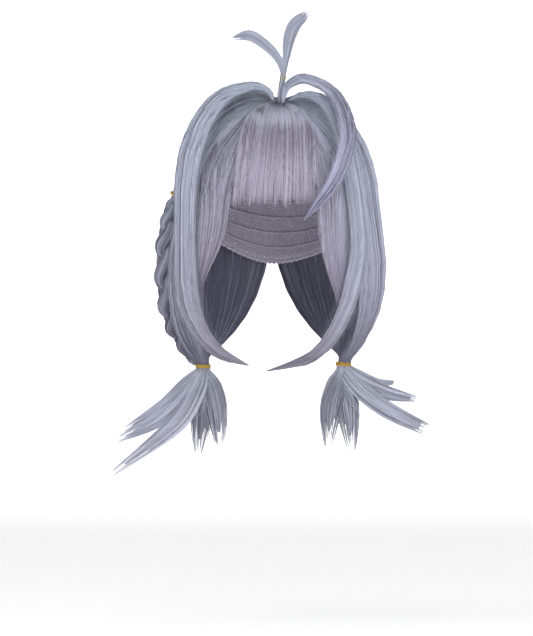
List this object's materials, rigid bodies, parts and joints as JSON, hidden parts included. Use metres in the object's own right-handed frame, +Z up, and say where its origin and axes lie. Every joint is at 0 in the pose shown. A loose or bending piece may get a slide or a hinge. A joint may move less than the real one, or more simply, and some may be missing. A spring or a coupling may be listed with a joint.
{
  "type": "braided wig",
  "caption": "Straight-haired costume wig with a blunt fringe, arched face-framing locks, a side braid, low tied pigtails and a forked sprout of hair on the parting.",
  "frame": {"origin": "highest point inside the cap, where the crown of the wearer's head sits", "axes": "+Z up out of the crown; -Y the way the wearer faces; +X the wearer's left"},
  "size_m": [0.2947, 0.212, 0.4225],
  "materials": {
    "cap_net": "fine stretch net with sewn hair wefts, matt",
    "back_hair": "straight silver-lilac synthetic fibre, soft sheen",
    "hair": "straight silver-lilac synthetic fibre, soft sheen along the strands",
    "gold_elastic": "thin wound elastic, matt gold",
    "pale_thread": "pale cream thread, wound, matt"
  },
  "bodies": {
    "root": {"wig_cap": "cap_net", "back_hair_left": "back_hair", "back_hair_right": "back_hair", "temple_lock_left": "hair", "temple_lock_right": "hair", "bangs": "hair", "side_lock_right": "hair", "side_lock_left": "hair", "sweep_lock_left": "hair", "sprout": "hair", "sprout_tie": "pale_thread", "braid": "hair", "braid_tie": "gold_elastic", "pigtail_right": "hair", "pigtail_left": "hair", "pigtail_tie_right": "gold_elastic", "pigtail_tie_left": "gold_elastic"}
  },
  "joints": []
}
